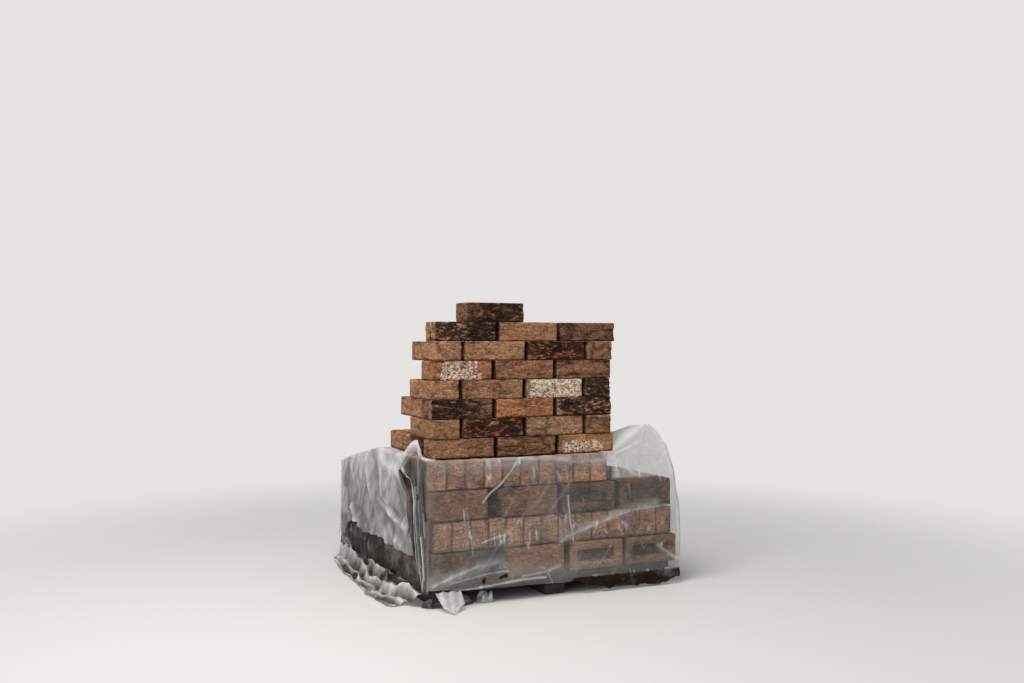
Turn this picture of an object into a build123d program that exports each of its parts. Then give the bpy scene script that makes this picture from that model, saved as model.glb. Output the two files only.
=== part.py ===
"""A part-used pack of handmade facing bricks on a low timber pallet.

Four layers of bricks stand on edge inside a torn shrink hood.  Seven courses and one odd brick
are stacked flat on top of them as a display.  X runs along the front of the pack, Y goes back
through it and Z is up.  The origin is the middle of the pallet's underside.  Sizes are in mm.
"""
from build123d import *
import os

# One brick, and the frog pressed into its upper bed face
brick_length = 220.0
brick_width = 103.0
brick_height = 65.5
frog_length = 156.0
frog_width = 46.0
frog_depth = 12.0
frog_floor_length = 140.0
frog_floor_width = 32.0

# How the pack is set out: bricks side by side, and one layer on the next
bricks_across = 14
bricks_deep = 15
bricks_end_to_end = 4
side_gap = 1.3
seat_gap = 0.3

# Layers 1 and 3 lie along the front, with uneven gaps between the ends of their bricks
layer_1_start = -14.0
layer_1_gaps = (65.0, 18.0, 8.0)
layer_3_start = -21.0
layer_3_gaps = (46.0, 12.0, 16.0)
frogs_facing_out = (2, 3)

# Layer 4 is part used: only its front left corner is left
layer_4_across = 10
layer_4_rows = 2
layer_4_side_gap = 3.1
layer_4_end_gap = 12.0

# The courses laid flat on top
course_count = 7
tower_width = 690.0
tower_left = 10.0
course_shifts = (2.0, -6.0, -5.0, -8.0, -6.0, 0.0, 8.0)
tower_setback = 26.0
course_gap = 0.6
back_shift = 50.0
back_joint = 6.0
far_brick_course = 3
top_brick_left = 128.0
loose_brick_left = 7.0
loose_brick_gap = 8.0

# The timber pallet
board_count = 7
board_width = 96.0
board_thickness = 22.0
bearer_count = 3
bearer_width = 75.0
bearer_height = 58.0
board_inset = 6.0
bearer_setback = 30.0

# The film hood, drawn thicker than real film so that it is a solid
film = 2.0
film_clearance = 0.6
hem_height = 48.0
ramp_foot_rise = 6.0
tent_foot_gap = 6.0
peak_in_from_right = 110.0
peak_back = 45.0
peak_rise = 96.0
ridge_rise = 72.0
ridge_reach = 14.0
ridge_length = 112.0
ridge_peak_back = 60.0
curtain_left = 555.0
flap_thickness = 3.0
flap_front = 103.0
flap_back = 825.0
flap_lean = 50.0
flap_top_front = 143.0
flap_top_gap = 3.0
flap_drop = 322.0
flap_jags = ((718.0, 6.0), (640.0, -16.0), (493.0, 0.0), (400.0, 8.0), (355.0, -13.0), (267.0, -13.0))
skirt_spread = 118.0
skirt_shoulder = 14.0
skirt_foot = 44.0
skirt_thickness = 3.0
skirt_front = 70.0
skirt_back = 990.0
skirt_bites = ((70.0, 30.0, 60.0), (330.0, 12.0, 90.0), (700.0, 40.0, 120.0))
tongue_left = 4.0
tongue_right = 84.0
tongue_tip = 44.0
tongue_reach = 96.0

# What follows from the sizes above
side_pitch = brick_height + side_gap
leaf_gap = brick_length - 2 * brick_width
pack_width = bricks_across * side_pitch - side_gap
pack_depth = bricks_deep * side_pitch - side_gap
left = -pack_width / 2
front = -pack_depth / 2
deck_top = bearer_height + board_thickness
layer_pitch = brick_width + seat_gap
course_pitch = brick_height + course_gap
LAYER_FLOOR = [deck_top + seat_gap + n * layer_pitch for n in range(4)]
layer_3_top = LAYER_FLOOR[2] + brick_width
layer_4_top = LAYER_FLOOR[3] + brick_width
layer_4_right = layer_3_start + layer_4_across * (brick_height + layer_4_side_gap) - layer_4_side_gap
layer_4_depth = layer_4_rows * (brick_length + layer_4_end_gap) - layer_4_end_gap


def flat_sided(corners, sides):
    """A solid with flat sides, each side a ring of corner numbers."""
    faces = [Face(Wire.make_polygon([corners[n] for n in side], close=True)) for side in sides]
    return Solid(Shell(faces))


def between_rings(low, high):
    """A solid between two rings of as many corners each, with a flat side for each pair of edges."""
    count = len(low)
    walls = [(n, (n + 1) % count, count + (n + 1) % count, count + n) for n in range(count)]
    return flat_sided(list(low) + list(high), [range(count), range(count, 2 * count)] + walls)


def level_ring(length, width, z):
    """The four corners of a level rectangle about the Z axis."""
    return [(x * length / 2, y * width / 2, z) for x, y in ((-1, -1), (1, -1), (1, 1), (-1, 1))]


def frogged_brick():
    """One brick about the middle of its block, with the tapered frog in its top face."""
    floor = level_ring(frog_floor_length, frog_floor_width, brick_height / 2 - frog_depth)
    mouth = level_ring(frog_length, frog_width, brick_height / 2)
    return (Box(brick_length, brick_width, brick_height) - between_rings(floor, mouth)).solid()


BRICK = frogged_brick()


def laid_flat(x, y, z, turned=False):
    """A brick on its bed with its lowest left front corner at x, y, z, turned end-on if asked."""
    across = brick_width if turned else brick_length
    deep = brick_length if turned else brick_width
    place = Location((x + across / 2, y + deep / 2, z + brick_height / 2), (0, 0, 90 if turned else 0))
    return BRICK.moved(place)


def on_edge_along_front(x, y, z, frog_out=False):
    """A brick on its long edge, its length along X, with its frog to the front or to the back."""
    middle = (x + brick_length / 2, y + brick_height / 2, z + brick_width / 2)
    return BRICK.moved(Location(middle, (90 if frog_out else -90, 0, 0)))


def on_edge_end_on(x, y, z):
    """A brick on its long edge, its length along Y and its frog to the right."""
    middle = (x + brick_height / 2, y + brick_length / 2, z + brick_width / 2)
    return BRICK.moved(Location(middle) * Location((0, 0, 0), (0, 0, 90)) * Location((0, 0, 0), (90, 0, 0)))


def bed_layer(level, start, gaps):
    """A layer whose bricks lie along the front, in rows one behind the other."""
    starts = [start]
    for gap in gaps:
        starts.append(starts[-1] + brick_length + gap)
    bricks = []
    for row in range(bricks_deep):
        for place, x in enumerate(starts):
            out = row == 0 and place in frogs_facing_out
            bricks.append(on_edge_along_front(left + x, front + row * side_pitch, LAYER_FLOOR[level], out))
    return bricks


def header_layer(level, start, across, rows, pitch, end_gap):
    """A layer whose bricks stand end-on to the front."""
    bricks = []
    for row in range(rows):
        for place in range(across):
            y = front + row * (brick_length + end_gap)
            bricks.append(on_edge_end_on(left + start + place * pitch, y, LAYER_FLOOR[level]))
    return bricks


def course(number):
    """One flat course: odd ones are stretchers, even ones have a header at each end."""
    z = layer_4_top + seat_gap + (number - 1) * course_pitch
    x0 = left + tower_left + course_shifts[number - 1]
    y0 = front + tower_setback
    y1 = y0 + brick_width + leaf_gap
    bricks = []
    if number % 2:
        joint = (tower_width - 3 * brick_length) / 2
        bricks += [laid_flat(x0 + n * (brick_length + joint), y0, z) for n in range(3)]
        back = [x0 + back_shift + n * (brick_length + back_joint) for n in range(3)]
        if number == far_brick_course:
            bricks.append(laid_flat(x0, y0 + brick_width + leaf_gap / 2, z, turned=True))
            back = [x0 + brick_width + back_joint + n * (brick_length + back_joint) for n in range(2)]
        bricks += [laid_flat(x, y1, z) for x in back]
    else:
        joint = (tower_width - 2 * brick_width - 2 * brick_length) / 3
        inner = [x0 + brick_width + joint + n * (brick_length + joint) for n in range(2)]
        bricks.append(laid_flat(x0, y0, z, turned=True))
        bricks.append(laid_flat(x0 + tower_width - brick_width, y0, z, turned=True))
        bricks += [laid_flat(x, y, z) for x in inner for y in (y0, y1)]
    return bricks


def deck_boards():
    """Boards laid across the pack, spread evenly from the front edge to the back."""
    length = pack_width - 2 * board_inset
    step = (pack_depth - 2 * board_inset - board_width) / (board_count - 1)
    y0 = front + board_inset + board_width / 2
    z = bearer_height + board_thickness / 2
    return [Pos(0, y0 + n * step, z) * Box(length, board_width, board_thickness) for n in range(board_count)]


def bearers():
    """Timbers on edge under the boards, from front to back, that leave two ways in for forks."""
    length = pack_depth - 2 * bearer_setback
    step = (pack_width - 2 * board_inset - bearer_width) / (bearer_count - 1)
    x0 = left + board_inset + bearer_width / 2
    return [Pos(x0 + n * step, 0, bearer_height / 2) * Box(bearer_width, length, bearer_height)
            for n in range(bearer_count)]


def block_between(low, high):
    """A block given by its lowest and highest corners."""
    size = [h - l for l, h in zip(low, high)]
    middle = [(h + l) / 2 for l, h in zip(low, high)]
    return Pos(*middle) * Box(*size)


# The space the hood covers, from the farthest brick on each side
cover_left = left + min(layer_1_start, layer_3_start)
layer_1_right = left + layer_1_start + bricks_end_to_end * brick_length + sum(layer_1_gaps)
cover_right = max(layer_1_right, left + pack_width)
cover_front = front
cover_back = front + pack_depth
tent_left = left + layer_4_right
odd_back_length = back_shift + 3 * brick_length + 2 * back_joint
stack_right = left + tower_left + max(course_shifts) + max(tower_width, odd_back_length)
tent_foot = max(stack_right, tent_left) + tent_foot_gap
ramp_top = front + layer_4_depth


def covered_space(grow, bottom):
    """The load's outline grown on every side: the layers, the slope behind them and the tent."""
    x0, x1 = cover_left - grow, cover_right + grow
    y0, y1 = cover_front - grow, cover_back + grow
    z3, z4 = layer_3_top + grow, layer_4_top + grow
    root = layer_3_top - brick_width / 2
    body = block_between((x0, y0, bottom), (x1, y1, z3))
    body += block_between((x0, y0, root), (tent_left, ramp_top, z4))
    slope = [(x0, ramp_top, root), (x0, ramp_top, z4), (x0, y1, z3 + ramp_foot_rise), (x0, y1, root)]
    body += extrude(Face(Wire.make_polygon(slope, close=True)), amount=x1 - x0, dir=(1, 0, 0))
    peak = (cover_right - peak_in_from_right, front + peak_back, layer_4_top + peak_rise + grow)
    # Beside the bricks of layer 4 the film stays under the overhanging ends of the courses
    low_top = layer_4_top - film_clearance - film + grow
    body += block_between((tent_left, y0, root), (tent_foot, ramp_top, low_top))
    corners = [(tent_foot, y0, root), (x1, y0, root), (x1, ramp_top, root), (tent_foot, ramp_top, root),
               (tent_foot, y0, low_top), (x1, y0, z3), (x1, ramp_top, z4), (tent_foot, ramp_top, low_top),
               peak]
    sides = [(0, 1, 2, 3), (0, 1, 5, 4), (1, 2, 6, 5), (3, 2, 6, 7), (0, 3, 7, 4),
             (4, 5, 8), (5, 6, 8), (6, 7, 8), (7, 4, 8)]
    return body + flat_sided(corners, sides)


def shrink_hood():
    """The torn hood: walls, the slope behind, the tent, the ridge, the flap and the loose hem."""
    inside = film_clearance
    outside = film_clearance + film
    hood = covered_space(outside, hem_height) - covered_space(inside, 0)
    # The top is torn away over the bricks that are left of layer 4
    reach = 2 * outside
    hood -= block_between((cover_left - reach, front - reach, layer_4_top + inside),
                          (tent_left, ramp_top, layer_4_top + peak_rise))
    x0, y0, z0 = cover_left - outside, front - outside, layer_4_top + inside
    spread = ridge_reach + film
    ridge_end = y0 + ridge_length
    hood += flat_sided([(x0 - film, y0 - film, z0), (x0 + spread, y0 - film, z0),
                        (x0 + spread, ridge_end, z0), (x0 - film, ridge_end, z0),
                        (x0 - film, y0 + ridge_peak_back, z0 + ridge_rise)],
                       [(0, 1, 2, 3), (0, 1, 4), (1, 2, 4), (2, 3, 4), (3, 0, 4)])
    # The curtain of film at the right of the front hangs to the ground
    curtain_top = hem_height + film
    hood += block_between((left + curtain_left, y0, 0), (cover_right + outside, front - inside, curtain_top))
    hood += left_flap(x0)
    hood += left_skirt(x0)
    hood += front_tongue(y0)
    return hood.solids()


def left_flap(x0):
    """The part of the torn top that folds down over the outside of the left wall."""
    fall = (layer_4_top - layer_3_top) / (cover_back - ramp_top)
    high = layer_4_top - flap_top_gap
    low = layer_4_top - flap_drop
    back_high = high - fall * (flap_back - layer_4_depth)
    edge = [(flap_front, low), (flap_front + flap_lean, (low + high) / 2), (flap_top_front, high),
            (layer_4_depth, high), (flap_back, back_high), (flap_back, low)]
    edge += [(y, low + z) for y, z in flap_jags]
    ring = [(x0 - flap_thickness, front + y, z) for y, z in edge]
    return extrude(Face(Wire.make_polygon(ring, close=True)), amount=flap_thickness, dir=(1, 0, 0))


def left_skirt(x0):
    """The loose hem at the left, which drops to the ground and lies out over it."""
    line = [(0, hem_height + film), (skirt_shoulder, hem_height / 2), (skirt_foot, film), (skirt_spread, 0)]
    under = [(x0 + film / 2 - x, front + skirt_front, z) for x, z in line]
    over = [(x, y, z + skirt_thickness) for x, y, z in reversed(under)]
    section = Face(Wire.make_polygon(under + over, close=True))
    band = extrude(section, amount=skirt_back - skirt_front, dir=(0, 1, 0))
    for y, depth, width in skirt_bites:
        band -= Location((x0 - skirt_spread, front + y, 0), (0, 0, 45)) * Box(depth, width, hem_height)
    return band


def front_tongue(y0):
    """A torn tongue of the hem at the left of the front, with its tip on the ground."""
    z = hem_height + film / 2
    low = [(left + tongue_left, y0 + film / 2, z), (left + tongue_right, y0 + film / 2, z),
           (left + tongue_tip, y0 - tongue_reach, 0)]
    high = [(x, y, h + film) for x, y, h in low]
    return between_rings(low, high)


def save(name, solids):
    """Write one node, as one solid or as solids that do not touch."""
    solids = list(solids)
    shape = solids[0] if len(solids) == 1 else Compound(solids)
    export_step(shape, f"parts/{name}.step")


os.makedirs("parts", exist_ok=True)
save("bearers", bearers())
save("deck_boards", deck_boards())
save("layer_1_bricks", bed_layer(0, layer_1_start, layer_1_gaps))
layer_2_gap = (pack_depth - bricks_end_to_end * brick_length) / (bricks_end_to_end - 1)
save("layer_2_bricks", header_layer(1, 0, bricks_across, bricks_end_to_end, side_pitch, layer_2_gap))
save("layer_3_bricks", bed_layer(2, layer_3_start, layer_3_gaps))
layer_4_pitch = brick_height + layer_4_side_gap
layer_4 = header_layer(3, layer_3_start, layer_4_across, layer_4_rows, layer_4_pitch, layer_4_end_gap)
save("layer_4_bricks", layer_4)
for number in range(1, course_count + 1):
    save(f"course_{number}_bricks", course(number))
top_of_stack = layer_4_top + seat_gap + course_count * course_pitch
save("top_brick", [laid_flat(left + top_brick_left, front + tower_setback, top_of_stack)])
behind_tower = front + tower_setback + brick_length + loose_brick_gap
save("loose_brick", [laid_flat(left + loose_brick_left, behind_tower,
                               layer_4_top + film_clearance + film + seat_gap, turned=True)])
save("shrink_hood", shrink_hood())
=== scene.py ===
import math
import bpy
import numpy as np
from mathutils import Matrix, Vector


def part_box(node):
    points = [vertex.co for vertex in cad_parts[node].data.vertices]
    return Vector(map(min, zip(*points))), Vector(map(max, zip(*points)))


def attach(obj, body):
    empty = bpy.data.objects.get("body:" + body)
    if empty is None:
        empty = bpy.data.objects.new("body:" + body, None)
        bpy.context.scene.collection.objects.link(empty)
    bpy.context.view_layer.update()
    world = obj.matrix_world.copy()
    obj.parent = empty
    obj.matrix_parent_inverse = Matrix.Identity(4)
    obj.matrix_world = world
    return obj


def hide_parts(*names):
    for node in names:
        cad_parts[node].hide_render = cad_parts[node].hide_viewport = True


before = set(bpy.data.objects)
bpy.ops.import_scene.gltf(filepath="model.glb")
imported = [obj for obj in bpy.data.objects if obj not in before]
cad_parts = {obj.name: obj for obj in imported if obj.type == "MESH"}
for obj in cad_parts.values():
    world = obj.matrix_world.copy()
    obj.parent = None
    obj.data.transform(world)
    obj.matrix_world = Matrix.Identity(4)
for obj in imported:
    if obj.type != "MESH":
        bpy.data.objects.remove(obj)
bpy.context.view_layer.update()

MM = 0.001

# The facing bricks of the pack.  Each is a block of soft clay thrown into a sanded mould by hand,
# with a frog pressed in one bed face, dried and fired.  Its arrises are blunt, its faces creased,
# and the fire leaves it anything from orange brown to burnt black.
FROG_HALF = np.array([78.0, 23.0]) * MM
FROG_DEEP, FROG_SLOPE = 12 * MM, 5 * MM
BED_GROWTH = 0.7 * MM
JOINT = 12 * MM
SAME_ROW, SAME_LEVEL, NEXT_TO = 60 * MM, 20 * MM, 30 * MM
BOW = 1.6 * MM
# Bricks seen through the film have a skin of coarser steps than this, and bare ones of finer steps
COARSE_STEP = 10 * MM


def clamp(values):
    """Values held between 0 and 1."""
    return np.clip(values, 0, 1)


def rising(x, start, over):
    """0 up to a start, and then rising straight to 1 over a length."""
    return clamp((x - start) / over)


def beside(x, place, reach):
    """1 at a place, falling straight to 0 at that reach on both sides."""
    return clamp(1 - np.abs(x - place) / reach)


def hash_noise(points, scale, seed):
    """Smooth noise from 0 to 1: random values at the corners of a cubic lattice of that spacing,
    blended across each cell by the cubic 3t^2 - 2t^3 along each axis."""
    q = np.asarray(points) / scale + 1000.0
    cell = np.floor(q).astype(np.int64)
    t = q - cell
    t = t * t * (3 - 2 * t)
    total = np.zeros(q.shape[:-1])
    for corner in range(8):
        step = np.array([corner & 1, corner >> 1 & 1, corner >> 2])
        c = cell + step
        h = c[..., 0] * 73856093 ^ c[..., 1] * 19349663 ^ c[..., 2] * 83492791 ^ (seed * 2654435761)
        h = (h ^ (h >> 13)) * 1274126177 & 0x7FFFFFFF
        h = (h ^ (h >> 16)) & 0xFFFFF
        total += h / 0xFFFFF * np.prod(np.where(step == 1, t, 1 - t), axis=-1)
    return total


def fractal(points, scale, seed, octaves=3):
    """Noise of that scale with finer and weaker copies of it added, still from 0 to 1."""
    total, weight = 0.0, 0.0
    for n in range(octaves):
        total = total + hash_noise(points, scale / 2 ** n, seed + 17 * n) / 2 ** n
        weight += 1 / 2 ** n
    return total / weight


def patches(points, scale, seed, steep, less):
    """Patches of 1 on 0: noise times one number less another, held between 0 and 1."""
    return clamp(fractal(points, scale, seed) * steep - less)


def ridges(points, scale, seed, sharpness):
    """Thin winding ridges where noise crosses its middle value, 1 on the ridge and 0 away."""
    return clamp(1 - np.abs(2 * fractal(points, scale, seed, 2) - 1) * sharpness)


def blocks_in(node):
    """The middle, size and frog direction of each separate block in a CAD node, in metres: its
    triangles are joined through their shared corners, and each block takes the smallest label."""
    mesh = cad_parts[node].data
    points = np.empty(len(mesh.vertices) * 3)
    mesh.vertices.foreach_get("co", points)
    points = points.reshape(-1, 3)
    loops = np.empty(len(mesh.loops), dtype=np.int64)
    mesh.loops.foreach_get("vertex_index", loops)
    _, shared = np.unique(np.round(points, 5), axis=0, return_inverse=True)
    shared = shared.ravel()
    triangles = shared[loops.reshape(-1, 3)]
    label = np.arange(shared.max() + 1)
    while True:
        low = label[triangles].min(axis=1)
        new = label.copy()
        for column in range(3):
            np.minimum.at(new, triangles[:, column], low)
        if (new == label).all():
            break
        label = new
    owner = label[shared]
    blocks = []
    for name in np.unique(owner):
        own = points[owner == name]
        low, high = own.min(axis=0), own.max(axis=0)
        middle = (low + high) / 2
        blocks.append((middle, high - low, own.mean(axis=0) - middle))
    return sorted(blocks, key=lambda b: (round(b[0][2], 2), round(b[0][1], 2), b[0][0]))


def stations(length, step, edge, rims=()):
    """Stations along a length, at about that step, with closer ones near both ends for an arris
    and one at each of the given distances from the middle."""
    ends = np.array([0, 0.35 * edge, 0.7 * edge] if step < COARSE_STEP else [0, 0.4 * edge])
    count = max(2, round((length - 2 * edge) / step) + 1)
    inner = np.linspace(edge, length - edge, count) - length / 2
    if len(rims):
        marks = np.array([side * rim for rim in rims for side in (-1, 1)])
        apart = np.abs(inner[:, None] - marks).min(axis=1) > step / 3
        at_arris = np.abs(inner) > length / 2 - edge - 1e-6
        inner = np.append(inner[apart | at_arris], marks)
    return np.concatenate([ends - length / 2, np.sort(inner), length / 2 - ends[::-1]])


def block_lattice(size, step, edge, rims=((), (), ())):
    """Points and quads over the six faces of a block: the corner points of a lattice that lie on
    its surface, each used once, so that the skin is closed."""
    axes = [stations(s, step, edge, rim) for s, rim in zip(size, rims)]
    counts = [len(a) for a in axes]
    quads = []
    for fixed in range(3):
        a, b = (fixed + 1) % 3, (fixed + 2) % 3
        i, j = np.meshgrid(np.arange(counts[a] - 1), np.arange(counts[b] - 1), indexing="ij")
        for end in (0, counts[fixed] - 1):
            ring = []
            for da, db in ((0, 0), (1, 0), (1, 1), (0, 1)):
                index = [None, None, None]
                index[fixed] = np.full(i.shape, end)
                index[a], index[b] = i + da, j + db
                ring.append((index[0] * counts[1] + index[1]) * counts[2] + index[2])
            quad = np.stack(ring, axis=-1).reshape(-1, 4)
            quads.append(quad if end else quad[:, ::-1])
    used, faces = np.unique(np.concatenate(quads), return_inverse=True)
    k = used % counts[2]
    j = used // counts[2] % counts[1]
    i = used // (counts[1] * counts[2])
    return np.stack([axes[0][i], axes[1][j], axes[2][k]], axis=-1), faces.reshape(-1, 4)


def rounded(points, size, radius):
    """Points on a block moved onto the same block with rounded arrises, and the outward direction
    at each: the nearest point of a smaller block, plus the radius away from it."""
    half = np.asarray(size) / 2
    core = np.clip(points, -half + radius, half - radius)
    away = points - core
    away /= np.maximum(np.linalg.norm(away, axis=-1, keepdims=True), 1e-9)
    return core + away * radius, away


def mesh_object(name, points, faces):
    """A new smooth mesh object from whole arrays of points and of faces with as many corners each."""
    mesh = bpy.data.meshes.new(name)
    corners = faces.shape[1]
    mesh.vertices.add(len(points))
    mesh.vertices.foreach_set("co", np.asarray(points, dtype=np.float32).ravel())
    mesh.loops.add(faces.size)
    mesh.loops.foreach_set("vertex_index", faces.ravel().astype(np.int32))
    mesh.polygons.add(len(faces))
    mesh.polygons.foreach_set("loop_start", np.arange(0, faces.size, corners, dtype=np.int32))
    mesh.polygons.foreach_set("loop_total", np.full(len(faces), corners, dtype=np.int32))
    mesh.update(calc_edges=True)
    mesh.validate()
    mesh.polygons.foreach_set("use_smooth", np.full(len(mesh.polygons), True))
    piece = bpy.data.objects.new(name, mesh)
    bpy.context.scene.collection.objects.link(piece)
    return piece


def paint(piece, name, values):
    """Stores a colour for each point of a mesh, for its material to read."""
    layer = piece.data.color_attributes.new(name, "FLOAT_COLOR", "POINT")
    rows = np.ones((len(piece.data.vertices), 4), dtype=np.float32)
    rows[:, :values.shape[1]] = values
    layer.data.foreach_set("color", rows.ravel())


def linear(r, g, b):
    """A colour given as 0 to 255 values on a screen, as the linear values that light adds up in."""
    c = np.array([r, g, b]) / 255
    return np.where(c <= 0.04045, c / 12.92, ((c + 0.055) / 1.055) ** 2.4)


# What the fire and the sand did to a brick: its clay colour, and how burnt, limed and creased its
# face is.  The lime and the black each lie round a place along the face, given with its reach in
# half lengths, and the lime reaches up to a height in half heights.
KINDS = {
    "brown": (linear(170, 123, 93), -0.2, 0.04, 0.3),
    "pale_brown": (linear(178, 129, 98), -0.2, 0.06, 0.3),
    "tan": (linear(173, 124, 90), -0.2, 0.05, 0.3),
    "grey_brown": (linear(156, 111, 83), -0.15, 0.06, 0.4),
    "olive": (linear(161, 119, 85), -0.15, 0.04, 0.3),
    "orange": (linear(180, 123, 83), -0.2, 0.03, 0.25),
    "ochre": (linear(178, 126, 84), -0.2, 1.0, 0.2),
    "pink_specked": (linear(160, 122, 94), -0.15, 0.5, 0.35),
    "orange_specked": (linear(172, 117, 82), -0.15, 1.0, 0.3),
    "white_specked": (linear(174, 137, 108), -0.2, 1.0, 0.25),
    "creased": (linear(162, 117, 87), -0.05, 0.02, 0.8),
    # shaded is a darker clay, partly the bricks' own colour and partly painted shade
    "shaded": (linear(134, 94, 70), 0.0, 0.0, 0.8),
    "dark_creased": (linear(132, 92, 67), 0.44, 0.0, 1.0),
    "half_burnt": (linear(156, 116, 91), 0.7, 0.03, 0.9),
    "rust_burnt": (linear(170, 111, 74), 0.66, 0.0, 1.0),
    "burnt": (linear(170, 130, 102), 0.64, 0.0, 1.0),
}
LIMED = {
    "ochre": (-0.2, 0.84, 0.45),
    "orange_specked": (-0.1, 0.78, 1.2),
    "white_specked": (0.08, 1.12, 1.2),
    "pink_specked": (-0.1, 1.1, 1.2),
}
BURNT = {"half_burnt": (-0.5, 0.75), "rust_burnt": (0.1, 1.1)}
PLAIN = ("brown", "pale_brown", "tan", "grey_brown", "olive", "creased")


def thrown_skin(skin, out, here, depth, crease, seed):
    """The skin of a brick pushed in by noise: broad hollows, small ones, blunt patches on the
    arrises, and the folds.  The bed faces, which were struck flat, take only a tenth of it."""
    arrises = 1 - np.max(np.abs(out), axis=-1)
    bed = clamp(np.abs(out[:, 2]) * 1.4 - 0.35)
    push = -2.0 * MM * fractal(here, 0.07, seed + 1)
    push -= 2.2 * MM * fractal(here, 0.014, seed + 2)
    push -= 19 * MM * arrises * patches(here, 0.03, seed + 3, 2.8, 0.95)
    push -= (0.25 + crease) * 4.6 * MM * depth
    push *= 1 - 0.9 * bed
    return skin + out * push[:, None]


def frog(points, out):
    """How deep the frog is at each point, as the cubic 3t^2 - 2t^3 of the way in from its rim, and
    how near the point is to that rim.  Both are 0 off the face that has the frog."""
    past_rim = np.max(np.abs(points[:, :2]) - FROG_HALF, axis=-1)
    wall = clamp(-past_rim / FROG_SLOPE)
    bed_face = out[:, 2] > 0.7
    hollow = np.where(bed_face, wall * wall * (3 - 2 * wall) * FROG_DEEP, 0)
    return hollow, np.where(bed_face, clamp(1 - np.abs(past_rim) / FROG_SLOPE), 0)


def has_neighbour(blocks, block, axes, way):
    """Whether another brick of the node carries on past that end of a brick."""
    middle, extent, _ = block
    long_axis, wide_axis, flat_axis = axes
    for other, _, _ in blocks:
        off = np.abs(other - middle)
        past_end = (other - middle)[long_axis] * way - extent[long_axis] - JOINT
        if off[wide_axis] < SAME_ROW and off[flat_axis] < SAME_LEVEL and np.abs(past_end) < NEXT_TO:
            return True
    return False


def fire_marks(kind, skin, here, front, half_length, half_height, depth, seed):
    """How burnt, limed and creased each point of a brick is.  Lime and black fade out from their
    places along the face, and noise breaks up their edges."""
    _, burn, speck, crease = KINDS[kind]
    limed_at, limed_reach, limed_top = LIMED.get(kind, (0.0, 0.9, 1.2))
    burnt_at, burnt_reach = BURNT.get(kind, (0.0, 1.2))
    patch = fractal(here, 0.045, seed, 2)
    across, height = skin[:, 0] / half_length, skin[:, 2] / half_height
    dusted = clamp((limed_reach - np.abs(across - limed_at) + 0.5 * (patch - 0.5)) * 4)
    dusted *= clamp((limed_top - height) * 2.5 + 0.5)
    blackened = clamp((burnt_reach - np.abs(across - burnt_at)) * 3) - 1
    burnt = burn * (0.35 + 0.65 * front) + 0.3 * (patch - 0.5) + 0.35 * blackened
    creased = depth * crease + 0.9 * max(crease - 0.7, 0) * front
    return np.stack([burnt, speck * dusted * front, creased], axis=-1)


def brick_rows(blocks, kinds, step, arris, frog_shade, seed, grow=0.0, tone=1.0):
    """Bricks of one node as one set of points, faces, colours and marks.  Each starts as a rounded
    block, is pushed in by noise, gets its frog in the face that the CAD block has it in, and a bow
    that grows with the square of the distance from its middle."""
    rng = np.random.default_rng(seed)
    size = np.sort(blocks[0][1])[::-1]
    grown = size + np.array([grow, 0, BED_GROWTH])
    coarse = step > COARSE_STEP
    rims = [(h, h - FROG_SLOPE) for h in FROG_HALF] + [()] if coarse else ((), (), ())
    base, quads = block_lattice(grown, step, arris, rims)
    points, faces, clays, marks = [], [], [], []
    for number, (block, kind) in enumerate(zip(blocks, kinds)):
        middle, extent, lean = block
        clay, crease = KINDS[kind][0], KINDS[kind][3]
        long_axis, flat_axis = int(np.argmax(extent)), int(np.argmin(extent))
        wide_axis = 3 - long_axis - flat_axis
        axes = [long_axis, wide_axis, flat_axis]
        flip = 1.0 if lean[flat_axis] >= 0 else -1.0
        skin, out = rounded(base, grown, arris * rng.uniform(0.75, 1.25))
        here = skin + (seed * 7.31 + number * 1.93)
        depth = ridges(here * np.array([0.4, 1, 1.3]), 0.034, seed + number, 3.6)
        depth = depth * patches(here, 0.05, seed + 5, 2, 0.4)
        made = thrown_skin(skin, out, here, depth, crease, seed)
        hollow, lip = frog(made, out)
        made[:, 2] -= hollow
        made[:, 1] += rng.uniform(-1, 1) * BOW * (2 * made[:, 0] / size[0]) ** 2
        turned = np.zeros_like(made)
        turned[:, [long_axis, wide_axis]] = made[:, :2]
        turned[:, flat_axis] = made[:, 2] * flip
        parity = 1 if axes in ([0, 1, 2], [1, 2, 0], [2, 0, 1]) else -1
        faces.append((quads if parity * flip > 0 else quads[:, ::-1]) + len(base) * number)
        points.append(turned + middle)

        # Painted shade and light: ends that face another brick, the sides of headers in a layer, undersides,
        # creases and the frog lie in shade, and tops and the frog's rim catch light
        facing = {long_axis: out[:, 0], wide_axis: out[:, 1], flat_axis: out[:, 2] * flip}
        tint = 1 + 0.16 * (fractal(here, 0.05, seed + 6) - 0.5) + rng.uniform(-0.07, 0.07)
        shade = tone * (1 - (0.25 + 0.6 * crease) * depth)
        for way in (-1, 1):
            if has_neighbour(blocks, block, axes, way):
                shade *= 1 - 0.8 * clamp(facing[long_axis] * way * 2 - 0.7)
        if coarse and long_axis == 1:
            joint_shade = 0.35 + 0.5 * (number * 0.618 % 1)
            shade *= 1 - joint_shade * clamp(np.abs(facing[0]) * 2 - 0.7)
        under = clamp(-facing[2] * 2.2 - 0.3) * (facing[2] > -0.99)
        over = clamp(facing[2] * 1.6 - 0.3) * (facing[2] < 0.99)
        shade *= 1 - 0.55 * under + 0.12 * over
        shade *= 1 - frog_shade * (hollow / FROG_DEEP)
        shade *= 1 + 0.4 * frog_shade * lip
        clays.append(clay * tint[:, None] * shade[:, None])
        half_length = size[0] / 2 if long_axis == 0 else np.inf
        half_height = flip * size[2] / 2 if flat_axis == 2 else np.inf
        front = clamp(0.15 - facing[1] * 1.4)
        marks.append(fire_marks(kind, skin, here, front, half_length, half_height, depth, seed + number + 7))
    return np.concatenate(points), np.concatenate(faces), np.concatenate(clays), np.concatenate(marks)


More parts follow.
